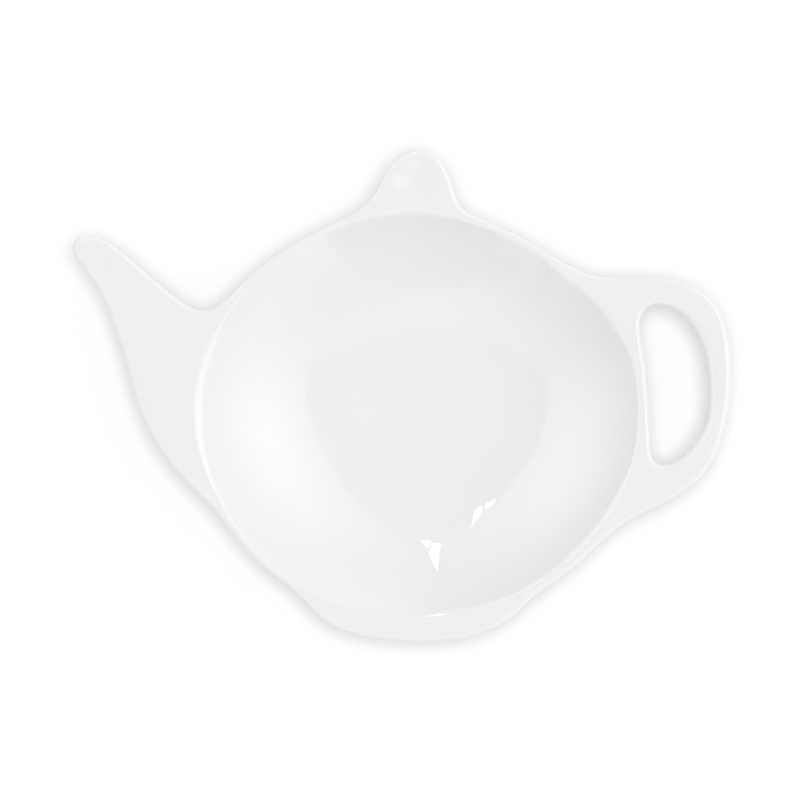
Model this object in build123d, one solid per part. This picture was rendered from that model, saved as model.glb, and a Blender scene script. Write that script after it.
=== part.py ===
from build123d import *
import math
import os

# A tea bag rest: a shallow porcelain dish whose rim is drawn as a teapot seen from the side.
# Millimetres. X runs towards the handle, Y towards the knob, Z up. The origin is where the
# bowl's axis meets the table.

# Bowl
bowl_length = 87.8      # the rim across, spout side to handle side
bowl_width = 80.9       # the rim across, knob side to base side
well_depth = 10.0       # rim down to the well's floor
wall_run = 26.0         # flat floor's edge out to the well's mouth, seen from above
floor_thickness = 4.0   # well's floor down to the bowl's flat underside
belly_inset = 1.4       # rim's outer edge in to the belly, under the plate
mouth_inset = 2.2       # rim's outer edge in to the well's mouth
shoulder_radius = 1.8   # rounding over the mouth
edge_radius = 1.0       # rounding along every outer edge

# How far the hand-drawn rim stands outside a true ellipse, every 30 degrees from the handle.
# The floor and the foot are true ellipses, and the walls change from one to the other.
rim_swell = (-0.4, -0.8, -2.9, -0.2, -1.5, -0.4, 0.4, -0.5, -0.1, 0.2, -0.7, -0.6)

# Foot
foot_height = 2.0       # standing ring, table to the bowl's underside
underside_inset = 20.5  # rim's outer edge in to the edge of the flat underside
foot_width = 3.2        # radial width of the ring
foot_margin = 0.5       # ring in from the edge of the flat underside
foot_rounding = 0.5     # edges that meet the table

# Lugs
lug_thickness = 5.0     # spout, handle, knob and base, flush with the rim on top
joint_stand = 0.5       # joints of the lugs stand this far out from the rounded mouth
root_gap = 1.2          # the handle's joint crosses the finger hole this far from its inner edge
root_clear = 2.2        # and leaves the outer edge this far before it is let go

spout_reach = 21.75     # tip beyond the rim
spout_rise = 31.9       # tip above the bowl's centre line
knob_height = 9.65      # top beyond the rim
knob_width = 13.7       # across its waist
knob_offset = -1.15     # its middle, towards the handle from the bowl's axis
handle_reach = 15.5     # outermost point beyond the rim
handle_bar = 4.3        # width of the loop at its outermost point
handle_arm = 5.3        # width of the upper arm
handle_top = 25.8       # upper edge above the bowl's centre line
handle_low = 18.8       # lower root below the bowl's centre line
hole_low = 9.8          # lowest point of the finger hole below the bowl's centre line
base_drop = 2.65        # lower edge beyond the rim
base_width = 27.5       # between the two lower corners
base_offset = -0.85     # its middle, towards the handle from the bowl's axis
dimple_width = 8.0      # thumb dimple on the knob
dimple_depth = 0.7
dimple_rise = 4.4       # dimple's middle beyond the rim

rim_height = foot_height + floor_thickness + well_depth
underside = rim_height - lug_thickness
floor_height = rim_height - well_depth
floor_inset = mouth_inset + wall_run
beyond = 2 * (bowl_length + bowl_width)     # a block this large takes in the whole dish


def rim_reach(step, inset=0.0, drawn=1.0):
    """Distance from the bowl's axis to a curve inside the rim, in one of the drawn directions."""
    angle = 2 * math.pi * step / len(rim_swell)
    half_length = bowl_length / 2 - inset
    half_width = bowl_width / 2 - inset
    ellipse = half_length * half_width / math.hypot(half_width * math.cos(angle), half_length * math.sin(angle))
    return ellipse + drawn * rim_swell[step]


def rim_curve(inset, height=0.0, drawn=1.0):
    """A closed curve inside the rim, from as drawn (1) to a true ellipse (0)."""
    points = []
    for step in range(len(rim_swell)):
        angle = 2 * math.pi * step / len(rim_swell)
        radius = rim_reach(step, inset, drawn)
        points.append((radius * math.cos(angle), radius * math.sin(angle), height))
    return Spline(*points, periodic=True)


quarter = len(rim_swell) // 4
right_reach = rim_reach(0)
top_reach = rim_reach(quarter)
left_reach = rim_reach(2 * quarter)
bottom_reach = rim_reach(3 * quarter)
rim = rim_curve(0.0)


def flank(turn):
    """A knot of the outline on the bare rim, at a share of a turn from the handle."""
    along = rim % turn
    return (rim @ turn, math.degrees(math.atan2(along.Y, along.X)))


def right(out, up, heading):
    """A knot beyond the handle side of the rim."""
    return (Vector(right_reach + out, up), heading)


def top(out, across, heading):
    """A knot beyond the knob side of the rim."""
    return (Vector(across, top_reach + out), heading)


def left(out, up, heading):
    """A knot beyond the spout side of the rim."""
    return (Vector(-left_reach - out, up), heading)


def bottom(out, across, heading):
    """A knot beyond the base side of the rim."""
    return (Vector(across, -bottom_reach - out), heading)


def outline(knots):
    """A closed smooth face through knots, each a point with the heading of the edge there."""
    points = []
    for (start, start_heading), (end, end_heading) in zip(knots, knots[1:] + knots[:1]):
        chord = end - start
        course = math.atan2(chord.Y, chord.X)
        pulls = []
        for heading in (start_heading, end_heading):
            lean = math.radians(heading) - course
            pull = chord.length / (3 * math.cos(lean / 2) ** 2)
            pulls.append(Vector(math.cos(math.radians(heading)), math.sin(math.radians(heading))) * pull)
        span = Bezier(start, start + pulls[0], end - pulls[1], end)
        points += [span @ 0, span @ 0.33, span @ 0.67]
    return make_face(Spline(*points, periodic=True))


# Knots of the outline, in shares of each lug's own sizes, with the heading of the edge in degrees
handle_knots = [
    right(-0.052 * handle_reach, -handle_low, 22),
    right(0.316 * handle_reach, -0.846 * handle_low, 27),
    right(0.890 * handle_reach, -0.250 * handle_low, 75),
    right(handle_reach, 0.318 * handle_top, 92),
    right(0.684 * handle_reach, 0.884 * handle_top, 141),
    right(0.006 * handle_reach, handle_top, 180),
    right(-0.458 * handle_reach, handle_top, 182),
]
hole_reach = handle_reach - handle_bar
hole_top = handle_top - handle_arm
hole_knots = [
    right(0.018 * hole_reach, -0.520 * hole_low, 273),
    right(0.241 * hole_reach, -hole_low, 2),
    right(0.679 * hole_reach, -0.673 * hole_low, 44),
    right(hole_reach, 0.171 * hole_top, 92),
    right(0.759 * hole_reach, 0.761 * hole_top, 121),
    right(0.152 * hole_reach, hole_top, 176),
    right(-0.152 * hole_reach, 0.834 * hole_top, 270),
    right(-0.063 * hole_reach, 0.415 * hole_top, 278),
]
knob_half = knob_width / 2
knob_knots = [
    top(0.321 * knob_height, knob_offset + knob_half, 103),
    top(knob_height, knob_offset + 0.110 * knob_half, 178),
    top(0.269 * knob_height, knob_offset - knob_half, 246),
]
spout_knots = [
    left(-0.143 * spout_reach, 0.611 * spout_rise, 182),
    left(0.046 * spout_reach, 0.668 * spout_rise, 145),
    left(0.609 * spout_reach, 0.984 * spout_rise, 143),
    left(0.853 * spout_reach, 1.052 * spout_rise, 183),
    left(0.970 * spout_reach, 1.025 * spout_rise, 228),
    left(0.995 * spout_reach, 0.972 * spout_rise, 278),
    left(0.908 * spout_reach, 0.878 * spout_rise, 301),
    left(0.729 * spout_reach, 0.683 * spout_rise, 295),
    left(0.515 * spout_reach, 0.270 * spout_rise, 285),
    left(0.354 * spout_reach, -0.069 * spout_rise, 294),
    left(-0.083 * spout_reach, -0.470 * spout_rise, 316),
]
base_half = base_width / 2
base_knots = [
    bottom(-1.132 * base_drop, base_offset - 1.400 * base_half, 312),
    bottom(0.245 * base_drop, base_offset - base_half, 341),
    bottom(base_drop, base_offset + 0.062 * base_half, 359),
    bottom(0.245 * base_drop, base_offset + base_half, 24),
    bottom(-1.509 * base_drop, base_offset + 1.495 * base_half, 47),
]
plan_knots = (
    handle_knots
    + [flank(0.135), flank(0.21)]
    + knob_knots
    + [flank(0.323), flank(0.36), flank(0.4)]
    + spout_knots
    + [flank(0.589), flank(0.649)]
    + base_knots
    + [flank(0.855), flank(0.885)]
)


def bowl_side(bottom_inset, bottom_height, run, rise, overrun):
    """A solid whose side leaves a flat floor on an arc and climbs to the rim's height, and past it."""
    radius = (run ** 2 + rise ** 2) / (2 * rise)
    end_angle = math.acos(1 - (rise + overrun) / radius)
    sections = []
    for step in range(side_steps + 1):
        angle = end_angle * step / side_steps
        climbed = radius * (1 - math.cos(angle))
        drawn = min(1.0, radius * math.sin(angle) / run)
        curve = rim_curve(bottom_inset - radius * math.sin(angle), bottom_height + climbed, drawn)
        sections.append(make_face(curve))
    return loft(sections)


# The plate that carries the lugs: the teapot's silhouette with the finger hole, all edges rounded
plan = outline(plan_knots) - outline(hole_knots)
plate = Pos(0, 0, underside) * extrude(plan, lug_thickness)
plate_faces = plate.faces().filter_by(Axis.Z)
plate = fillet(plate_faces.edges(), edge_radius)

# The bowl under the plate, and the well in it
side_steps = 6
belly_run = underside_inset - belly_inset
belly = bowl_side(underside_inset, foot_height, belly_run, underside - foot_height, edge_radius)
well = bowl_side(floor_inset, floor_height, wall_run, well_depth, edge_radius)
dish = plate + belly - well
mouth = dish.faces().filter_by(Axis.Z).sort_by(Axis.Z)[-1].inner_wires().sort_by(SortBy.LENGTH)[-1]
dish = fillet(mouth.edges(), shoulder_radius)

# Thumb dimple in the knob
dimple_radius = (dimple_width ** 2 / 4 + dimple_depth ** 2) / (2 * dimple_depth)
dimple_place = Pos(knob_offset, top_reach + dimple_rise, rim_height - dimple_depth + dimple_radius)
dish = dish - dimple_place * Sphere(dimple_radius)

# Joints: each lug is what lies beyond an upright face across its root
mouth_half_angle = math.atan(well_depth / wall_run)
joint_inset = mouth_inset - shoulder_radius * math.tan(mouth_half_angle) - joint_stand
block = Box(beyond, beyond, beyond)
spout_side = Pos(-left_reach + joint_inset - beyond / 2, 0, 0) * block
knob_side = Pos(0, top_reach - joint_inset + beyond / 2, 0) * block
base_side = Pos(0, -bottom_reach + joint_inset - beyond / 2, 0) * block
upper_root = handle_knots[-1][0]
lower_root = handle_knots[0][0]
hole_upper = hole_knots[-2][0]
hole_lower = hole_knots[0][0]
far_right = right_reach + beyond
handle_corners = [
    upper_root + Vector(0, root_clear),
    hole_upper + Vector(root_gap, 0),
    hole_lower + Vector(root_gap, -root_gap),
    lower_root - Vector(root_clear, 2 * root_clear),
    Vector(far_right, lower_root.Y - 2 * root_clear),
    Vector(far_right, upper_root.Y + root_clear),
]
handle_side = extrude(make_face(Polyline(*handle_corners, close=True)), beyond)

spout = dish & spout_side
knob = dish & knob_side
base = dish & base_side
handle = dish & handle_side
bowl = dish - spout_side - knob_side - base_side - handle_side

# Standing ring on the flat underside of the bowl
ring_outer = make_face(rim_curve(underside_inset + foot_margin, drawn=0.0))
ring_inner = make_face(rim_curve(underside_inset + foot_margin + foot_width, drawn=0.0))
foot_ring = extrude(ring_outer - ring_inner, foot_height)
foot_ring = fillet(foot_ring.faces().sort_by(Axis.Z)[0].edges(), foot_rounding)

os.makedirs("parts", exist_ok=True)
export_step(bowl, "parts/bowl.step")
export_step(foot_ring, "parts/foot_ring.step")
export_step(spout, "parts/spout.step")
export_step(handle, "parts/handle.step")
export_step(knob, "parts/knob.step")
export_step(base, "parts/base.step")
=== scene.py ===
import bpy
import bmesh
import math
import numpy as np
from mathutils import Matrix, Vector


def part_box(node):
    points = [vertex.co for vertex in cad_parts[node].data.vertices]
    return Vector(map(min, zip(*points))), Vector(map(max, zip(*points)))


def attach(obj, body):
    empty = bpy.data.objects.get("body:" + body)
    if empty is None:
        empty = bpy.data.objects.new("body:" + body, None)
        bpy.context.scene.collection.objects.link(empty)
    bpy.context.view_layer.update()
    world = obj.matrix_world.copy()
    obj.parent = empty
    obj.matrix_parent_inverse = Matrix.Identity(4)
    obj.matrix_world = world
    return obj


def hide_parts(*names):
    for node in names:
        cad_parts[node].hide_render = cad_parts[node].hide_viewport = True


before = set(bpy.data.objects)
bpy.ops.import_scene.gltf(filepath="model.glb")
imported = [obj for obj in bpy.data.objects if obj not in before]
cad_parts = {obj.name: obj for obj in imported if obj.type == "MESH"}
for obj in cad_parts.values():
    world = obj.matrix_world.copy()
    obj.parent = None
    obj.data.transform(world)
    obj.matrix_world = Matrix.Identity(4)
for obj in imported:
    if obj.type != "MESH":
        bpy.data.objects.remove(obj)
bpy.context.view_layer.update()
print("frame loaded:", ", ".join(sorted(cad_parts)))

# sizes are millimetres: X to the handle, Y to the knob, Z up, origin on the table under the bowl
mm = 0.001

bowl = {
    "length": 87.8,                     # rim across, spout to handle
    "width": 80.9,                      # rim across, knob to base
    "swell": (-0.4, -0.8, -2.9, -0.2, -1.5, -0.4,       # off the true ellipse, every 30 degrees
              0.4, -0.5, -0.1, 0.2, -0.7, -0.6),
    "rimTop": 16.0,
    "wellDepth": 10.0,
    "wallRun": 26.0,                    # flat floor's edge out to the mouth
    "mouthInset": 1.75,
    "shoulder": 1.2,                    # rounding over the mouth
    "softMouthInset": 2.3,              # softer and further in where the lugs run in
    "softShoulder": 3.8,
    "softSides": ((176, 8, 26, 1.0), (91, 5, 14, 0.8), (269, 12, 24, 0.7),      # middle, full and end in
                  (0, 8, 16, 0.15), (33, 7, 19, 0.95), (328, 8, 22, 0.6)),      # degrees, share
    "bareMouthInset": 1.25,             # thin lip where no lug stands out
    "bareShoulder": 0.7,
    "bareSides": ((61, 8, 15, 1.0), (128, 12, 22, 1.0), (223, 12, 20, 1.0)),
    "bellyInset": 1.4,
    "bellyLip": (0.12, 0.03),           # small fillet where the belly leaves the plate
    "bellyShare": 0.985,                # of the full arc, the rest is in that fillet
    "underside": 2.0,
    "undersideInset": 20.5,
    "flatRings": (0.985, 0.9, 0.6, 0.3),    # rings on the flat floor and underside, edge to middle
    "perSpan": 24,                      # points for each 30 degrees
    "shoulderSteps": 10, "wallSteps": 30, "bellySteps": 29,
}
topZ = bowl["rimTop"]
floorZ = topZ - bowl["wellDepth"]
wallRadius = (bowl["wallRun"] ** 2 + bowl["wellDepth"] ** 2) / (2 * bowl["wellDepth"])


def closedSpline(points, perSpan):      # smooth closed curve, same curvature on both sides of each point
    p = np.array(points, float)
    n = len(p)
    ahead = np.roll(p, -1, 0)
    step = np.linalg.norm(ahead - p, axis=1)
    lhs = np.zeros((n, n))
    rhs = np.zeros_like(p)
    for i in range(n):
        before, after = step[i - 1], step[i]
        lhs[i, i - 1] += after
        lhs[i, i] += 2 * (before + after)
        lhs[i, (i + 1) % n] += before
        rhs[i] = 3 * (before * (ahead[i] - p[i]) / after + after * (p[i] - p[i - 1]) / before)
    slope = np.linalg.solve(lhs, rhs)
    t = np.arange(perSpan)[:, None] / perSpan
    out = []
    for i in range(n):
        j = (i + 1) % n
        out.append((2 * t**3 - 3 * t**2 + 1) * p[i] + (t**3 - 2 * t**2 + t) * step[i] * slope[i]
                   + (3 * t**2 - 2 * t**3) * p[j] + (t**3 - t**2) * step[i] * slope[j])
    return np.concatenate(out)


def evenly(curve, spacing):             # closed curve resampled to even steps
    loop = np.vstack([curve, curve[:1]])
    run = np.concatenate([[0], np.cumsum(np.linalg.norm(np.diff(loop, axis=0), axis=1))])
    at = np.linspace(0, run[-1], round(run[-1] / spacing), endpoint=False)
    return np.stack([np.interp(at, run, loop[:, k]) for k in range(2)], axis=1)


def rimReach(step, inset, drawn):
    angle = math.radians(30 * step)
    a, b = bowl["length"] / 2 - inset, bowl["width"] / 2 - inset
    ellipse = a * b / math.hypot(b * math.cos(angle), a * math.sin(angle))
    return ellipse + drawn * bowl["swell"][step]


def rimRing(inset, drawn=1.0):          # curve round the bowl, from the drawn rim (1) to a true ellipse (0)
    spokes = []
    for step in range(12):
        angle = math.radians(30 * step)
        radius = rimReach(step, inset, drawn)
        spokes.append((radius * math.cos(angle), radius * math.sin(angle)))
    return closedSpline(spokes, bowl["perSpan"])


def apart(bearings, middle):            # degrees between bearings, either way round
    return np.abs((bearings - middle + 180) % 360 - 180)


def easeIn(share):
    return share * share * (3 - 2 * share)


def sideShare(sides, bearings):         # how far each bearing has the form of the listed sides
    total = np.zeros(len(bearings))
    for middle, full, end, share in sides:
        part = np.clip((end - apart(bearings, middle)) / (end - full), 0, 1)
        total = np.maximum(total, share * easeIn(part))
    return total


rim = rimRing(0)
rimAngle = np.degrees(np.arctan2(rim[:, 1], rim[:, 0])) % 360
rightReach, topReach, leftReach, bottomReach = (rimReach(step, 0, 1) for step in (0, 3, 6, 9))


# knots of the outline: a point, measured from the rim, and the edge's heading there

def flank(angle):                       # on the bare rim
    i = int(np.argmin(apart(rimAngle, angle)))
    ahead = rim[(i + 1) % len(rim)] - rim[i - 1]
    return rim[i], math.degrees(math.atan2(ahead[1], ahead[0]))


def right(out, up, heading):
    return np.array((rightReach + out, up)), heading


def top(out, across, heading):
    return np.array((across, topReach + out)), heading


def left(out, up, heading):
    return np.array((-leftReach - out, up)), heading


def bottom(out, across, heading):
    return np.array((across, -bottomReach - out)), heading


handle = {"reach": 15.5, "top": 25.8, "low": 18.8, "bar": 4.3, "arm": 5.3, "holeLow": 9.8,
          "rootGap": 1.2, "rootClear": 2.2}
reach, up, low = handle["reach"], handle["top"], handle["low"]
handleKnots = [
    right(-0.052 * reach, -low, 22), right(0.316 * reach, -0.846 * low, 27),
    right(0.890 * reach, -0.250 * low, 75), right(reach, 0.318 * up, 92),
    right(0.684 * reach, 0.884 * up, 141), right(0.006 * reach, up, 180), right(-0.458 * reach, up, 182)]
reach, up, low = handle["reach"] - handle["bar"], handle["top"] - handle["arm"], handle["holeLow"]
holeKnots = [
    right(0.018 * reach, -0.520 * low, 273), right(0.241 * reach, -low, 2),
    right(0.679 * reach, -0.673 * low, 44), right(reach, 0.171 * up, 92),
    right(0.759 * reach, 0.761 * up, 121), right(0.152 * reach, up, 176),
    right(-0.152 * reach, 0.834 * up, 270), right(-0.063 * reach, 0.415 * up, 278)]

knob = {"height": 9.65, "width": 14.1, "offset": -0.95,
        "dimple": (-0.9, 45.0), "dimpleDepth": 0.46, "dimpleLow": 5.1, "dimpleMargin": 1.25,
        "spokeEvery": 4, "evenOut": 4,  # degrees, and spokes to either side
        "dimpleRings": (1.02, 1.0, 0.93, 0.86, 0.78, 0.7, 0.6, 0.5, 0.4, 0.3, 0.2, 0.1)}
height, half, middle = knob["height"], knob["width"] / 2, knob["offset"]
knobKnots = [
    top(0.321 * height, middle + half, 103), top(height, middle + 0.110 * half, 178),
    top(0.269 * height, middle - half, 246)]

spout = {"reach": 21.75, "rise": 31.9}
reach, up = spout["reach"], spout["rise"]
spoutKnots = [
    left(-0.143 * reach, 0.611 * up, 182), left(0.046 * reach, 0.668 * up, 145),
    left(0.609 * reach, 0.984 * up, 143), left(0.853 * reach, 1.052 * up, 183),
    left(0.970 * reach, 1.025 * up, 228), left(0.995 * reach, 0.972 * up, 278),
    left(0.908 * reach, 0.878 * up, 301), left(0.729 * reach, 0.683 * up, 295),
    left(0.515 * reach, 0.270 * up, 285), left(0.354 * reach, -0.069 * up, 294),
    left(-0.083 * reach, -0.470 * up, 316)]

base = {"drop": 2.65, "width": 27.5, "offset": -0.85}
drop, half, middle = base["drop"], base["width"] / 2, base["offset"]
baseKnots = [
    bottom(-1.132 * drop, middle - 1.400 * half, 312), bottom(0.245 * drop, middle - half, 341),
    bottom(drop, middle + 0.062 * half, 359), bottom(0.245 * drop, middle + half, 24),
    bottom(-1.509 * drop, middle + 1.495 * half, 47)]

# the plate that all the lugs are cut from
lug = {"thickness": 5.0, "edge": 0.85, "bareEdge": 0.72, "handleEdge": 1.0, "holeEdge": 1.8,
       "handleStart": (46.0, 50.0), "edgeSteps": 12, "hold": 0.07, "spacing": 0.3, "inset": 0.01,
       "stretchPoints": (0, 0.33, 0.67), "perSpan": 16}     # of each stretch between two knots
lugZ = topZ - lug["thickness"]


def outline(knots):                     # closed curve through the knots, in even steps
    points = []
    for (start, startHeading), (end, endHeading) in zip(knots, knots[1:] + knots[:1]):
        chord = end - start
        course = math.atan2(chord[1], chord[0])
        pulls = []
        for heading in (math.radians(startHeading), math.radians(endHeading)):
            pull = np.hypot(*chord) / (3 * math.cos((heading - course) / 2) ** 2)
            pulls.append(pull * np.array((math.cos(heading), math.sin(heading))))
        for t in lug["stretchPoints"]:
            points.append((1 - t)**3 * start + 3 * (1 - t)**2 * t * (start + pulls[0])
                          + 3 * (1 - t) * t**2 * (end - pulls[1]) + t**3 * end)
    return evenly(closedSpline(points, lug["perSpan"]), lug["spacing"])


outer = outline(handleKnots + [flank(47.2), flank(76.1)] + knobKnots
                + [flank(118.5), flank(132.3), flank(146.6)] + spoutKnots
                + [flank(211.5), flank(233.0)] + baseKnots + [flank(308.9), flank(319.7)])
hole = outline(holeKnots)
print("silhouette:", len(outer), "points, finger hole:", len(hole))


# one continuous skin for the whole dish, cut into its members afterwards

skin = bmesh.new()


def ring(points, z):
    heights = z if hasattr(z, "__len__") else [z] * len(points)
    return [skin.verts.new((p[0], p[1], height)) for p, height in zip(points, heights)]


def bridge(rings):                      # quads between closed rings with the same count
    for a, b in zip(rings, rings[1:]):
        for i in range(len(a)):
            j = (i + 1) % len(a)
            skin.faces.new((a[i], a[j], b[j], b[i]))


def fan(loop, x, y, z):                 # closes a ring on a middle point
    middle = skin.verts.new((x, y, z))
    for i in range(len(loop)):
        skin.faces.new((loop[i], loop[(i + 1) % len(loop)], middle))


def fillFlat(loops):                    # flat sheet between loops
    edges = []
    for loop in loops:
        edges += [skin.edges.get((loop[i], loop[(i + 1) % len(loop)])) for i in range(len(loop))]
    bmesh.ops.triangle_fill(skin, use_beauty=True, use_dissolve=False, edges=edges)


def wrapEdge(curve, inward):            # rounded side of the plate along a closed curve
    along = np.roll(curve, -1, 0) - np.roll(curve, 1, 0)
    along /= np.linalg.norm(along, axis=1)[:, None]
    into = np.stack((-along[:, 1], along[:, 0]), axis=1) * (1 if inward else -1)
    start, end = lug["handleStart"]     # the handle's bar is rounder than the rest
    onHandle = easeIn(np.clip((curve[:, 0] - start) / (end - start), 0, 1))
    bare = sideShare(bowl["bareSides"], np.degrees(np.arctan2(curve[:, 1], curve[:, 0])))
    handleEdge = lug["handleEdge" if inward else "holeEdge"]
    edge = lug["edge"] + (handleEdge - lug["edge"]) * onHandle + (lug["bareEdge"] - lug["edge"]) * bare
    turns = np.radians(np.linspace(0, 90, lug["edgeSteps"] + 1))
    rows = [(edge + lug["hold"], topZ + 0 * edge)]
    rows += [(edge * (1 - math.sin(turn)), topZ - edge * (1 - math.cos(turn))) for turn in turns]
    rows += [(edge * (1 - math.cos(turn)), lugZ + edge * (1 - math.sin(turn))) for turn in turns]
    rows.append((edge + lug["hold"], lugZ + 0 * edge))
    rings = [ring(curve + into * (depth + lug["inset"])[:, None], z) for depth, z in rows]
    bridge(rings)
    return rings[0], rings[-1]


outerTop, outerUnder = wrapEdge(outer, True)
holeTop, holeUnder = wrapEdge(hole, False)


def lipProfile(radius):                 # from the flat rim over the shoulder and down the wall to the floor
    depth = bowl["wellDepth"]
    middle = math.sqrt((wallRadius + radius) ** 2 - (wallRadius - depth + radius) ** 2)
    meet = math.asin(middle / (wallRadius + radius))
    steps = [(middle + lug["hold"], 0)]
    for k in range(bowl["shoulderSteps"] + 1):
        turn = meet * k / bowl["shoulderSteps"]
        steps.append((middle - radius * math.sin(turn), -radius * (1 - math.cos(turn))))
    for k in range(1, bowl["wallSteps"] + 1):
        turn = meet * (1 - k / bowl["wallSteps"])
        steps.append((wallRadius * math.sin(turn), wallRadius * (1 - math.cos(turn)) - depth))
    return steps


# well: three kinds of lip, blended by bearing
soft = sideShare(bowl["softSides"], rimAngle)
bare = sideShare(bowl["bareSides"], rimAngle) * (1 - soft)
lips = [(1 - soft - bare, bowl["mouthInset"], lipProfile(bowl["shoulder"])),
        (soft, bowl["softMouthInset"], lipProfile(bowl["softShoulder"])),
        (bare, bowl["bareMouthInset"], lipProfile(bowl["bareShoulder"]))]
floorInset = bowl["mouthInset"] + bowl["wallRun"]
wellRings = []
for step in range(len(lips[0][2])):
    floorEdge, heights = np.zeros_like(rim), topZ + np.zeros(len(rim))
    for share, inset, profile in lips:
        out, down = profile[step]
        drawn = min(1, out / bowl["wallRun"])
        further = (inset - bowl["mouthInset"]) * drawn**3
        floorEdge += rimRing(floorInset + further - out, drawn) * share[:, None]
        heights += down * share
    wellRings.append(ring(floorEdge, heights))
for share in bowl["flatRings"]:
    wellRings.append(ring(floorEdge * share, floorZ))
bridge(wellRings)
fan(wellRings[-1], 0, 0, floorZ)

# thumb dimple: follows the knob's tongue
bearings = np.radians(np.arange(0, 360, knob["spokeEvery"]))
tongue = outer[outer[:, 1] > topReach] - knob["dimple"]
tongueBearing = np.arctan2(tongue[:, 1], tongue[:, 0]) % (2 * math.pi)
order = np.argsort(tongueBearing)
reach = np.interp(bearings, tongueBearing[order], np.hypot(*tongue[order].T), period=2 * math.pi)
reach = np.minimum(reach - knob["dimpleMargin"], knob["dimpleLow"])
evenOut = knob["evenOut"]
reach = sum(np.roll(reach, k) for k in range(-evenOut, evenOut + 1)) / (2 * evenOut + 1)
spokes = np.stack((np.cos(bearings), np.sin(bearings)), axis=1)
dimpleRings = []
for share in knob["dimpleRings"]:
    points = knob["dimple"] + spokes * reach[:, None] * share
    dimpleRings.append(ring(points, topZ - knob["dimpleDepth"] * max(0, 1 - share * share) ** 2))
bridge(dimpleRings)
fan(dimpleRings[-1], *knob["dimple"], topZ - knob["dimpleDepth"])

# belly under the plate, down to the flat underside
rise = lugZ - bowl["underside"]
run = bowl["undersideInset"] - bowl["bellyInset"]
bellyRadius = (run ** 2 + rise ** 2) / (2 * rise)
bellyTurn = 2 * math.atan(rise / run)
wide, narrow = bowl["bellyLip"]
bellyRings = [ring(rimRing(bowl["bellyInset"] - wide), lugZ),
              ring(rimRing(bowl["bellyInset"] - narrow), lugZ - narrow)]
for k in range(bowl["bellySteps"] + 1):
    turn = bellyTurn * (bowl["bellyShare"] - bowl["bellyShare"] * k / bowl["bellySteps"])
    out = bellyRadius * math.sin(turn)
    z = bowl["underside"] + bellyRadius * (1 - math.cos(turn))
    bellyRings.append(ring(rimRing(bowl["undersideInset"] - out, min(1, out / run)), z))
undersideEdge = rimRing(bowl["undersideInset"], 0)
for share in bowl["flatRings"]:
    bellyRings.append(ring(undersideEdge * share, bowl["underside"]))
bridge(bellyRings)
fan(bellyRings[-1], 0, 0, bowl["underside"])

fillFlat([outerTop, holeTop, wellRings[0], dimpleRings[0]])
fillFlat([outerUnder, holeUnder, bellyRings[0]])
bmesh.ops.recalc_face_normals(skin, faces=skin.faces[:])
print("skin:", len(skin.faces), "faces, open edges:", sum(not e.is_manifold for e in skin.edges))

# joints: the same upright cuts as the CAD members, each through the faces near it only
joint = {"spoutMiddle": 3, "spoutWithin": 45, "knobWithin": 25, "baseWithin": 45,
         "handleSpare": 3, "snap": 1e-4}
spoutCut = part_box("spout")[1].x / mm
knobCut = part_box("knob")[0].y / mm
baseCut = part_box("base")[1].y / mm
gap, clear = handle["rootGap"], handle["rootClear"]
handleCuts = [handleKnots[0][0] - (clear, 2 * clear), holeKnots[0][0] + (gap, -gap),
              holeKnots[-2][0] + (gap, 0), handleKnots[-1][0] + (0, clear)]
cutX, cutY = zip(*handleCuts)


def cut(point, across, near, within):
    faces = [f for f in skin.faces if (f.calc_center_median().xy - Vector(near)).length < within]
    geom = list({e for f in faces for e in f.edges}) + list({v for f in faces for v in f.verts}) + faces
    bmesh.ops.bisect_plane(skin, geom=geom, dist=joint["snap"], plane_co=point, plane_no=across)


cut((spoutCut, 0, 0), (1, 0, 0), (spoutCut, joint["spoutMiddle"]), joint["spoutWithin"])
cut((0, knobCut, 0), (0, 1, 0), (knob["offset"], knobCut), joint["knobWithin"])
cut((0, baseCut, 0), (0, 1, 0), (base["offset"], baseCut), joint["baseWithin"])
for start, end in (handleCuts[:2], handleCuts[2:]):
    slant = end - start
    within = np.hypot(*slant) / 2 + joint["handleSpare"]
    cut((*start, 0), (slant[1], -slant[0], 0), (start + end) / 2, within)
skin.normal_update()


def memberOf(x, y):
    if x < spoutCut:
        return "spout"
    if y > knobCut:
        return "knob"
    if y < baseCut:
        return "base"
    if cutY[0] < y < cutY[-1] and x > np.interp(y, cutY, cutX):
        return "handle"
    return "bowl"


members = {name: [] for name in ("bowl", "spout", "handle", "knob", "base")}
for face in skin.faces:
    middle = face.calc_center_median()
    members[memberOf(middle.x, middle.y)].append(face)


def makeMember(name, faces):            # closed mesh whose shading runs on across the joints
    index, verts, flow, polygons = {}, [], [], []
    for face in faces:
        for v in face.verts:
            if v not in index:
                index[v] = len(verts)
                verts.append(v.co * mm)
                flow.append(v.normal.copy())
        polygons.append([index[v] for v in face.verts])
    sides = {}                          # every face's sides, in order
    for polygon in polygons:
        for a, b in zip(polygon, polygon[1:] + polygon[:1]):
            sides[(a, b)] = True
    onward = {b: a for a, b in sides if (b, a) not in sides}    # open ones, run backwards round the joint
    caps = []
    while onward:
        start, at = onward.popitem()
        loop = [start]
        while at != start:
            loop.append(at)
            at = onward.pop(at)
        caps.append(loop)
    mesh = bpy.data.meshes.new(name)
    mesh.from_pydata(verts, [], polygons + caps)
    mesh.polygons.foreach_set("use_smooth", [True] * len(mesh.polygons))
    normals = []
    for polygon in mesh.polygons:
        for v in polygon.vertices:
            normals.append(flow[v] if polygon.index < len(polygons) else polygon.normal)
    mesh.normals_split_custom_set(normals)
    piece = bpy.data.objects.new(name, mesh)
    bpy.context.scene.collection.objects.link(piece)
    print(" ", name, len(polygons), "faces,", len(caps), "joint faces")
    return piece


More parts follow.
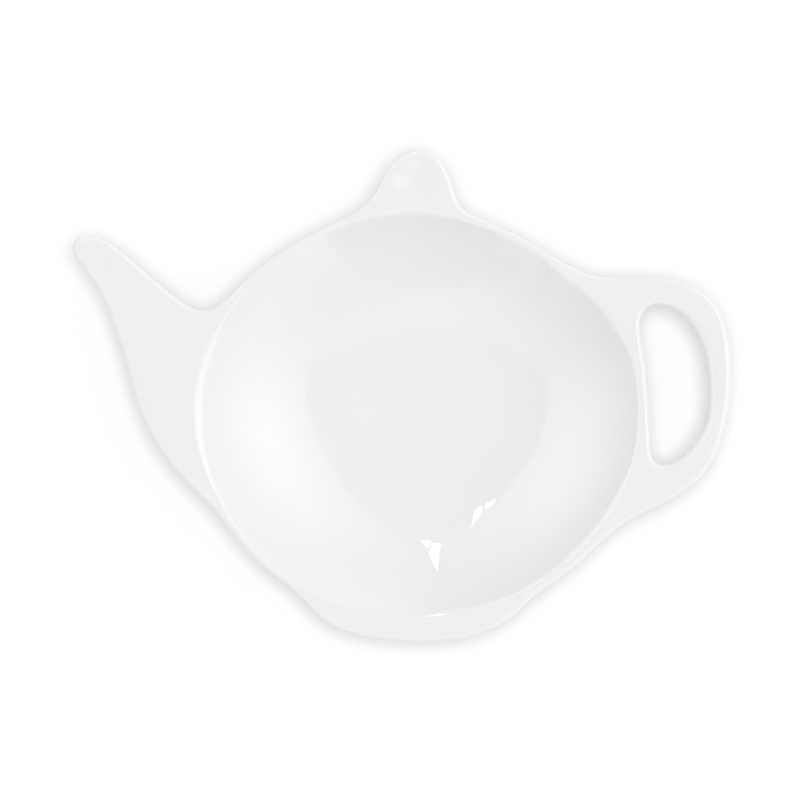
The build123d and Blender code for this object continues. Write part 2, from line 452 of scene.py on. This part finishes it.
pieces = {name: makeMember(name + "Porcelain", faces) for name, faces in members.items()}
skin.free()

# standing ring: its sides flare into the belly and are rounded where they meet the table
foot = {"margin": 0.5, "width": 3.2, "rounding": 0.5, "flare": 0.35, "flareSteps": 4, "roundingSteps": 6}
outside = rimRing(bowl["undersideInset"] + foot["margin"], 0)
inside = rimRing(bowl["undersideInset"] + foot["margin"] + foot["width"], 0)
profile = []                            # across the ring from outside, height
for turn in np.radians(np.linspace(0, 90, foot["flareSteps"] + 1)):
    profile.append((-foot["flare"] * (1 - math.sin(turn)),
                    bowl["underside"] - foot["flare"] * (1 - math.cos(turn))))
for turn in np.radians(np.linspace(0, 90, foot["roundingSteps"] + 1)):
    profile.append((foot["rounding"] * (1 - math.cos(turn)), foot["rounding"] * (1 - math.sin(turn))))
profile += [(foot["width"] - across, z) for across, z in reversed(profile)]
skin = bmesh.new()
rings = [ring(outside + (inside - outside) * across / foot["width"], z) for across, z in profile]
bridge(rings + rings[:1])
bmesh.ops.recalc_face_normals(skin, faces=skin.faces[:])
mesh = bpy.data.meshes.new("footRing")
skin.to_mesh(mesh)
skin.free()
mesh.transform(Matrix.Scale(mm, 4))
mesh.shade_smooth()
pieces["foot_ring"] = bpy.data.objects.new("footRing", mesh)
bpy.context.scene.collection.objects.link(pieces["foot_ring"])
print("pieces:", ", ".join(pieces))


# finishes, from here on in metres

def newMaterial(name):
    material = bpy.data.materials.new(name)
    material.use_nodes = True
    return material, material.node_tree, material.node_tree.nodes["Principled BSDF"]


def plug(tree, value, socket):          # another node's output, or a constant
    if hasattr(value, "is_linked"):
        tree.links.new(value, socket)
    else:
        socket.default_value = value


def blend(tree, fac, first, second):    # colour that goes from first to second
    mix = tree.nodes.new("ShaderNodeMix")
    mix.data_type = "RGBA"
    for socket, value in zip((0, 6, 7), (fac, first, second)):
        plug(tree, value, mix.inputs[socket])
    return mix.outputs[2]


def noise(tree, place, size, detail):
    texture = tree.nodes.new("ShaderNodeTexNoise")
    texture.inputs["Scale"].default_value = 1 / size
    texture.inputs["Detail"].default_value = detail
    tree.links.new(place, texture.inputs["Vector"])
    return texture.outputs["Fac"]


def spread(tree, value, fromMin, fromMax, toMin, toMax):
    spreader = tree.nodes.new("ShaderNodeMapRange")
    limits = {"From Min": fromMin, "From Max": fromMax, "To Min": toMin, "To Max": toMax}
    for socket, number in limits.items():
        spreader.inputs[socket].default_value = number
    tree.links.new(value, spreader.inputs["Value"])
    return spreader.outputs["Result"]


def swing(tree, place, size, detail, least, most):      # noise, mostly 0.3 to 0.7, taken between two values
    return spread(tree, noise(tree, place, size, detail), 0.3, 0.7, least, most)


def combine(tree, operation, *values):
    node = tree.nodes.new("ShaderNodeMath")
    node.operation = operation
    for socket, value in zip(node.inputs, values):
        plug(tree, value, socket)
    return node.outputs["Value"]


def bump(tree, height, strength, distance, shader):
    relief = tree.nodes.new("ShaderNodeBump")
    relief.inputs["Strength"].default_value = strength
    relief.inputs["Distance"].default_value = distance
    tree.links.new(height, relief.inputs["Height"])
    tree.links.new(relief.outputs["Normal"], shader.inputs["Normal"])


def placeAndHeight(tree):
    place = tree.nodes.new("ShaderNodeTexCoord").outputs["Object"]
    axes = tree.nodes.new("ShaderNodeSeparateXYZ")
    tree.links.new(place, axes.inputs["Vector"])
    return place, axes.outputs["Z"]


glaze = {                               # each noise: size, detail
    "thin": (0.866, 0.866, 0.864, 1),   # over the lip
    "thick": (0.850, 0.852, 0.852, 1),  # pooled in the well
    "pooled": (0.75, 0.25),             # share of thick on the floor and at the rim
    "uneven": 0.25, "unevenNoise": (0.02, 3),
    "gloss": (0.012, 0.04), "glossNoise": (0.006, 4),
    "ripple": 0.02, "rippleNoise": (0.008, 1), "rippleHeight": 0.0006,
    "pinhole": 0.00009, "pinholeCore": 0.5, "pinholeSpacing": 0.0045, "pinholeRarity": 0.9,
    "pinholeTone": (0.80, 0.795, 0.785, 1),
    "ior": 1.5,
}


def glazedPorcelain():
    material, tree, shader = newMaterial("glazedPorcelain")
    place, z = placeAndHeight(tree)
    pooled = spread(tree, z, floorZ * mm, topZ * mm, *glaze["pooled"])  # the glaze ran down before it set
    uneven = swing(tree, place, *glaze["unevenNoise"], -glaze["uneven"], glaze["uneven"])
    body = blend(tree, combine(tree, "ADD", pooled, uneven), glaze["thin"], glaze["thick"])
    cells = tree.nodes.new("ShaderNodeTexVoronoi")      # a few pinholes from the firing
    cells.inputs["Scale"].default_value = 1 / glaze["pinholeSpacing"]
    tree.links.new(place, cells.inputs["Vector"])
    lot = tree.nodes.new("ShaderNodeSeparateColor")
    tree.links.new(cells.outputs["Color"], lot.inputs["Color"])
    chosen = combine(tree, "GREATER_THAN", lot.outputs["Red"], glaze["pinholeRarity"])
    size = glaze["pinhole"] / glaze["pinholeSpacing"]
    near = spread(tree, cells.outputs["Distance"], size * glaze["pinholeCore"], size, 1, 0)
    pin = combine(tree, "MULTIPLY", chosen, near)
    plug(tree, blend(tree, pin, body, glaze["pinholeTone"]), shader.inputs["Base Color"])
    plug(tree, swing(tree, place, *glaze["glossNoise"], *glaze["gloss"]), shader.inputs["Roughness"])
    wave = combine(tree, "SUBTRACT", noise(tree, place, *glaze["rippleNoise"]), pin)
    bump(tree, wave, glaze["ripple"], glaze["rippleHeight"], shader)    # it set in slow ripples
    shader.inputs["IOR"].default_value = glaze["ior"]
    return material


biscuit = {
    "pale": (0.82, 0.81, 0.79, 1), "dark": (0.72, 0.70, 0.67, 1),
    "grainNoise": (0.0004, 4), "stainNoise": (0.006, 3),
    "glazeLine": 0.00145, "lineSoft": 0.00008,          # the glaze was wiped off up to here
    "waver": 0.0003, "waverNoise": (0.004, 2),
    "roughness": (0.7, 0.05),           # bare, glazed
    "grit": 0.3, "gritHeight": 0.0001,
}


def barePorcelain():
    material, tree, shader = newMaterial("barePorcelain")
    place, z = placeAndHeight(tree)
    grain = noise(tree, place, *biscuit["grainNoise"])
    stain = noise(tree, place, *biscuit["stainNoise"])                  # kiln shelf marks
    clay = blend(tree, combine(tree, "MULTIPLY", grain, stain), biscuit["pale"], biscuit["dark"])
    waver = swing(tree, place, *biscuit["waverNoise"], -biscuit["waver"], biscuit["waver"])
    line = biscuit["glazeLine"]
    coated = spread(tree, combine(tree, "ADD", z, waver), line, line + biscuit["lineSoft"], 0, 1)
    plug(tree, blend(tree, coated, clay, glaze["thin"]), shader.inputs["Base Color"])
    plug(tree, spread(tree, coated, 0, 1, *biscuit["roughness"]), shader.inputs["Roughness"])
    bump(tree, combine(tree, "MAXIMUM", grain, coated), biscuit["grit"], biscuit["gritHeight"], shader)
    return material


glazed, bareClay = glazedPorcelain(), barePorcelain()
for name, piece in pieces.items():
    piece.data.materials.append(bareClay if name == "foot_ring" else glazed)
    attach(piece, "root")
    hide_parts(name)
print("finishes on")


# stage

def stageMesh(name, corners, material):
    mesh = bpy.data.meshes.new(name)
    mesh.from_pydata(corners, [], [range(len(corners))])
    mesh.materials.append(material)
    thing = bpy.data.objects.new(name, mesh)
    bpy.context.scene.collection.objects.link(thing)
    return thing


# pale table, partly plain white so that it stays white under the camera
table = {"half": 2, "z": -0.0002, "colour": (0.22, 0.22, 0.22, 1), "roughness": 0.9,
         "white": 0.4, "whiteness": 1.125,                                  # white: share that glows
         "lamp": 10.5, "lampSpread": 22, "lampLean": 1.7, "lampSide": 45}   # for the soft shadow's edge
paper, tree, shader = newMaterial("tablePaper")
shader.inputs["Base Color"].default_value = table["colour"]
shader.inputs["Roughness"].default_value = table["roughness"]
shader.inputs["Specular IOR Level"].default_value = 0
glow = tree.nodes.new("ShaderNodeEmission")
glow.inputs["Strength"].default_value = table["whiteness"]
path = tree.nodes.new("ShaderNodeLightPath")
seen = combine(tree, "MAXIMUM", path.outputs["Is Camera Ray"], path.outputs["Is Glossy Ray"])
seen = combine(tree, "MAXIMUM", seen, path.outputs["Is Transmission Ray"])
whiten = tree.nodes.new("ShaderNodeMixShader")
tree.links.new(combine(tree, "MULTIPLY", seen, table["white"]), whiten.inputs["Fac"])
tree.links.new(shader.outputs["BSDF"], whiten.inputs[1])
tree.links.new(glow.outputs["Emission"], whiten.inputs[2])
tree.links.new(whiten.outputs["Shader"], tree.nodes["Material Output"].inputs["Surface"])
half, z = table["half"], table["z"]
corners = [(-half, -half, z), (half, -half, z), (half, half, z), (-half, half, z)]
tableTop = stageMesh("table", corners, paper)

# lamp that lights the table alone
tableLamp = bpy.data.objects.new("tableLamp", bpy.data.lights.new("tableLamp", "SUN"))
bpy.context.scene.collection.objects.link(tableLamp)
tableLamp.data.energy = table["lamp"]
tableLamp.data.angle = math.radians(table["lampSpread"])
tableLamp.rotation_euler = (0, math.radians(table["lampLean"]), math.radians(table["lampSide"]))
tableLamp.visible_glossy = False
onTable = bpy.data.collections.new("onTable")
onTable.objects.link(tableTop)
tableLamp.light_linking.receiver_collection = onTable

# soft light all round, in patches of sky:
# degrees from straight up, degrees round from the handle, strength, tightness
light = [
    (20, 15, 0.3, 40), (20, 165, 0.2, 40), (19, 262, 0.3, 40),
    (40, 0, 1.87, 14), (40, 36, 1.64, 14), (40, 144, 1.35, 14), (40, 180, 0.88, 14), (40, 252, 0.9, 14),
    (62, 0, 0.66, 14), (62, 144, 0.95, 14), (62, 180, 1.12, 14), (62, 324, 0.75, 14),
    (84, 0, 0.35, 14), (84, 36, 0.88, 14), (84, 72, 1.21, 14), (84, 252, 1.06, 14), (84, 288, 1.7, 14)]
world = bpy.data.worlds.new("studio")
bpy.context.scene.world = world
world.use_nodes = True
tree = world.node_tree
sky = tree.nodes["Background"]
sky.inputs["Color"].default_value = (1, 1, 1, 1)
gaze = tree.nodes.new("ShaderNodeTexCoord").outputs["Generated"]
total = None
for fromTop, around, strength, tight in light:
    fromTop, around = math.radians(fromTop), math.radians(around)
    towards = tree.nodes.new("ShaderNodeVectorMath")
    towards.operation = "DOT_PRODUCT"
    towards.inputs[1].default_value = (math.sin(fromTop) * math.cos(around),
                                       math.sin(fromTop) * math.sin(around), math.cos(fromTop))
    tree.links.new(gaze, towards.inputs[0])
    fall = combine(tree, "MULTIPLY_ADD", towards.outputs["Value"], tight, math.log(strength) - tight)
    patch = combine(tree, "EXPONENT", fall)
    total = combine(tree, "ADD", total, patch) if total else patch
tree.links.new(total, sky.inputs["Strength"])

# what the glaze mirrors: the camera's dark card, slivers of window and a dim card beyond the base
mirrored = {
    "overhead": 0.7, "sliverBelow": 0.002, "sliverStrength": 12,
    "cameraCard": [
        (0.26, -0.167), (0.108, -0.124), (-0.021, -0.08), (-0.119, -0.186), (-0.195, -0.156), (-0.325, -0.12),
        (-0.288, -0.01), (-0.247, 0.083), (-0.21, 0.151), (-0.171, 0.22), (-0.148, 0.297), (-0.121, 0.411),
        (-0.054, 0.548), (0.042, 0.456), (0.106, 0.32), (0.116, 0.179), (0.11, 0.087), (0.124, 0.034),
        (0.172, -0.033)],
    "slivers": [
        [(-0.048, 0.473), (-0.074, 0.479), (-0.095, 0.699), (-0.114, 0.918), (-0.046, 0.585)],
        [(-0.008, 0.441), (-0.044, 0.447), (-0.036, 0.523)],
        [(-0.143, 0.383), (-0.114, 0.278), (-0.114, 0.243), (-0.139, 0.296)],
        [(-0.142, 0.292), (-0.13, 0.252), (-0.152, 0.241), (-0.153, 0.278)]],
    "backCardFrom": -0.7, "backCardGlow": 0.22,
    "backCard": [                       # sideways, height
        (0.36, 0.03), (0.356, 0.242), (0.296, 0.584), (0.212, 0.912), (0.12, 1.071), (-0.022, 1.13),
        (-0.176, 1.092), (-0.267, 0.904), (-0.328, 0.71), (-0.358, 0.408), (-0.36, 0.03)],
}


def mirrorCard(name, corners, strength):                # seen by reflections only
    material, _, shader = newMaterial(name)
    shader.inputs["Base Color"].default_value = (0, 0, 0, 1)
    shader.inputs["Specular IOR Level"].default_value = 0
    shader.inputs["Emission Color"].default_value = (1, 1, 1, 1)
    shader.inputs["Emission Strength"].default_value = strength
    card = stageMesh(name, corners, material)
    card.visible_camera = card.visible_diffuse = card.visible_shadow = card.visible_transmission = False


overhead, beyond = mirrored["overhead"], mirrored["backCardFrom"]
mirrorCard("cameraCard", [(x, y, overhead) for x, y in mirrored["cameraCard"]], 0)
mirrorCard("backCard", [(x, beyond, z) for x, z in mirrored["backCard"]], mirrored["backCardGlow"])
for number, sliver in enumerate(mirrored["slivers"]):
    corners = [(x, y, overhead - mirrored["sliverBelow"]) for x, y in sliver]
    mirrorCard("windowSliver%d" % (number + 1), corners, mirrored["sliverStrength"])

# camera straight above, far off; span is the width seen at the rim, in millimetres
photo = {"span": 151.74, "middle": (-3.79, 2.47), "lens": 500, "sensor": 36}
lens = bpy.data.cameras.new("camera")
lens.lens = photo["lens"]
lens.sensor_width = photo["sensor"]
camera = bpy.data.objects.new("camera", lens)
bpy.context.scene.collection.objects.link(camera)
camera.location = (photo["middle"][0] * mm, photo["middle"][1] * mm,
                   topZ * mm + photo["span"] * mm * photo["lens"] / photo["sensor"])
bpy.context.scene.camera = camera
bpy.context.scene.view_settings.view_transform = "Standard"
print("stage set")
